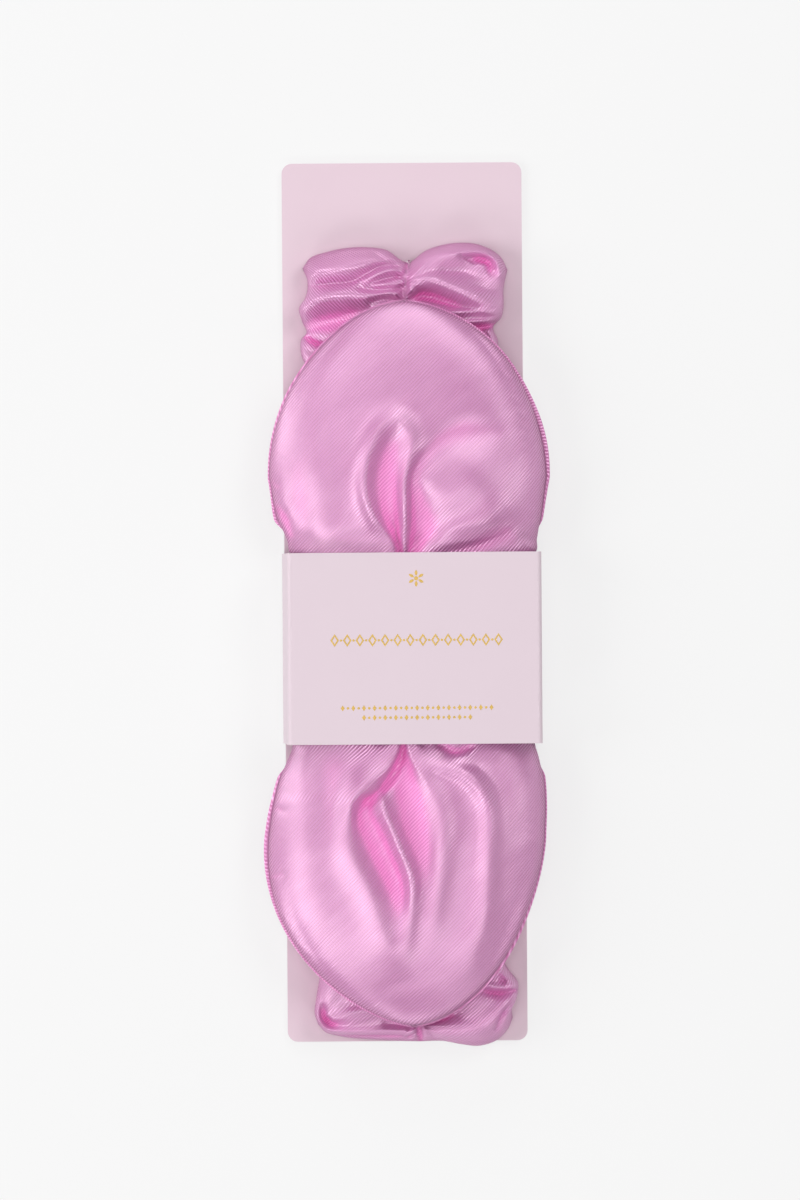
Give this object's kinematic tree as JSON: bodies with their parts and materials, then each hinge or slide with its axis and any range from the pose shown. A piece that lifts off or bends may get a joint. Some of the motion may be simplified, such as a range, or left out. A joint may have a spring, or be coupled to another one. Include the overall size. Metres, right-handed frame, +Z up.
{
  "type": "knotted headband",
  "caption": "Satin headband with a padded two-lobed bow, laid flat on a backing card inside a sliding board sleeve.",
  "frame": {"origin": "on the sleeve's back face, under the centre of the knot", "axes": "+Z up out of the bow, +Y to the header end of the card, +X to the right seen from the front with the header up"},
  "size_m": [0.0831, 0.2609, 0.0274],
  "materials": {
    "card_board": "coated paperboard, smooth and matt",
    "sleeve_board": "coated paperboard, smooth and matt",
    "foil": "hot-stamped gold foil",
    "satin": "glossy polyester satin with a fine diagonal twill",
    "wadding": "polyester wadding",
    "elastic": "woven elastic",
    "thread": "overlocked polyester thread",
    "nylon_tie": "clear nylon",
    "glue": "dried hot-melt glue"
  },
  "bodies": {
    "pack": {"backing_card": "card_board", "top_tie": "nylon_tie", "bottom_tie": "nylon_tie", "band_front_run": "satin", "band_top_turn": "satin", "band_bottom_turn": "satin", "elastic_casing": "satin", "band_elastic": "elastic", "casing_seams": "thread", "knot_wrap": "satin", "bow_waist": "satin"},
    "sleeve": {"sleeve": "sleeve_board", "sleeve_glue": "glue", "foil_emblem": "foil", "foil_title": "foil", "foil_footer": "foil"},
    "upper_lobe": {"upper_lobe_front": "satin", "upper_lobe_back": "satin", "upper_lobe_wadding": "wadding"},
    "lower_lobe": {"lower_lobe_front": "satin", "lower_lobe_back": "satin", "lower_lobe_wadding": "wadding"}
  },
  "joints": [
    {"name": "sleeve_slide", "type": "slide", "parent": "pack", "child": "sleeve", "axis": [0, 1, 0], "range_m": [-0.004, 0.004]},
    {"name": "upper_lobe_lift", "type": "hinge", "parent": "pack", "child": "upper_lobe", "pos_m": [0, 0.0323, 0.0228], "axis": [1, 0, 0], "range_deg": [0, 40]},
    {"name": "lower_lobe_lift", "type": "hinge", "parent": "pack", "child": "lower_lobe", "pos_m": [0, -0.0323, 0.0228], "axis": [-1, 0, 0], "range_deg": [0, 40]}
  ]
}
